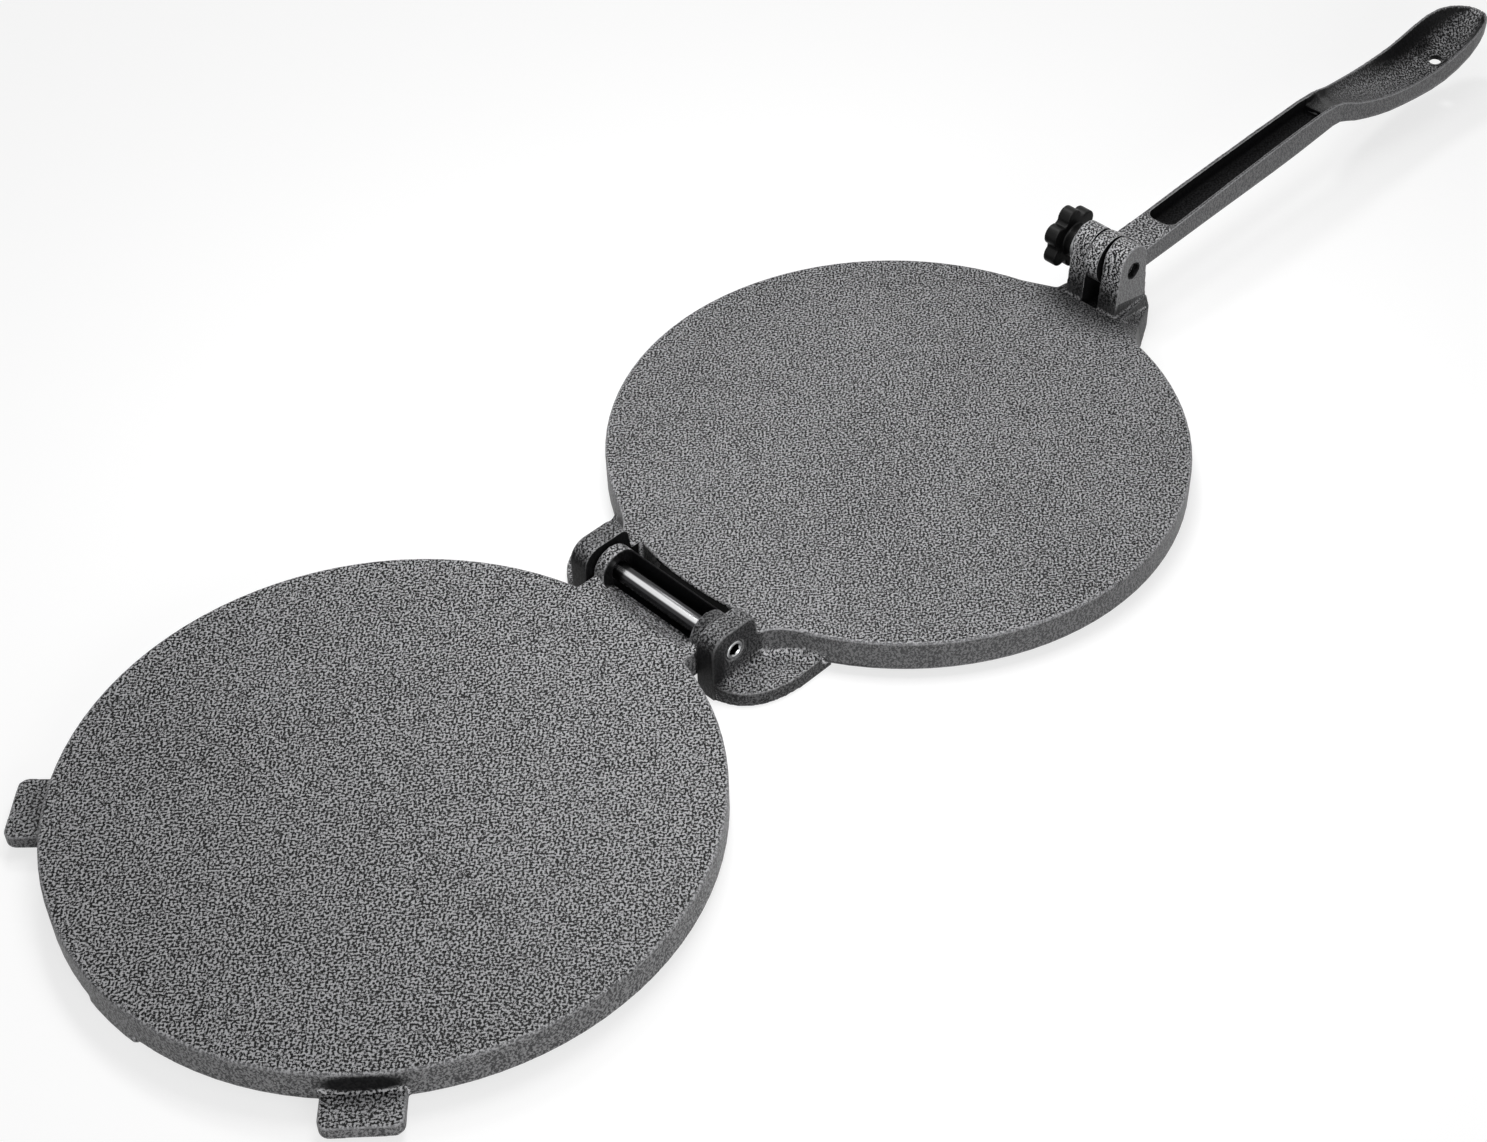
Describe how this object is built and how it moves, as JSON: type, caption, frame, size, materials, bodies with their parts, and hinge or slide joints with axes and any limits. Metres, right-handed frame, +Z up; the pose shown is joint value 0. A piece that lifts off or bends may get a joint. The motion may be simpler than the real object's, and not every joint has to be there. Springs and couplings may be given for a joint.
{
  "type": "tortilla press",
  "caption": "Hand press for tortillas, lying open and flat: hinged round cast plates, finger tabs on the lid, and a front clevis whose long dished lever is clamped by a side knob.",
  "frame": {"origin": "middle of the footprint of the open press, on the table", "axes": "+X from the lid past the hinge and the base to the lever's tip, +Z up from the table, +Y towards the side with the knob"},
  "size_m": [0.8598, 0.254, 0.0557],
  "materials": {
    "base_casting": "silver-grey hammertone enamel over cast metal, semi-gloss",
    "lid_casting": "silver-grey hammertone enamel over cast metal, semi-gloss",
    "lever_casting": "grey hammertone enamel, dark in the recesses",
    "pin_steel": "bright ground steel",
    "screw_steel": "plain zinc-plated steel",
    "knob_plastic": "black moulded plastic, matte",
    "stud_steel": "plain zinc-plated steel",
    "washer_steel": "plain zinc-plated steel"
  },
  "bodies": {
    "base": {"base_plate": "base_casting", "hinge_pin": "pin_steel", "pin_screw_near": "screw_steel", "pin_screw_far": "screw_steel"},
    "lid": {"lid_plate": "lid_casting"},
    "lever": {"lever": "lever_casting"},
    "washer": {"knob_washer": "washer_steel"},
    "knob": {"knob_head": "knob_plastic", "knob_stud": "stud_steel"}
  },
  "joints": [
    {"name": "lid_hinge", "type": "hinge", "parent": "base", "child": "lid", "pos_m": [-0.16165, 0, 0.02], "axis": [0, 1, 0], "range_deg": [0, 180]},
    {"name": "lever_pivot", "type": "hinge", "parent": "base", "child": "lever", "pos_m": [0.12035, 0, 0.0403], "axis": [0, -1, 0], "range_deg": [0, 165]},
    {"name": "knob_travel", "type": "slide", "parent": "base", "child": "washer", "axis": [0, 1, 0], "range_m": [0, 0.0075]},
    {"name": "knob_turn", "type": "hinge", "parent": "washer", "child": "knob", "pos_m": [0.12035, 0.02, 0.0403], "axis": [0, 1, 0], "range_deg": [0, 2160]}
  ],
  "couplings": [
    {"joint": "knob_turn", "follows": "knob_travel", "rad_per_m": 5026.5}
  ]
}
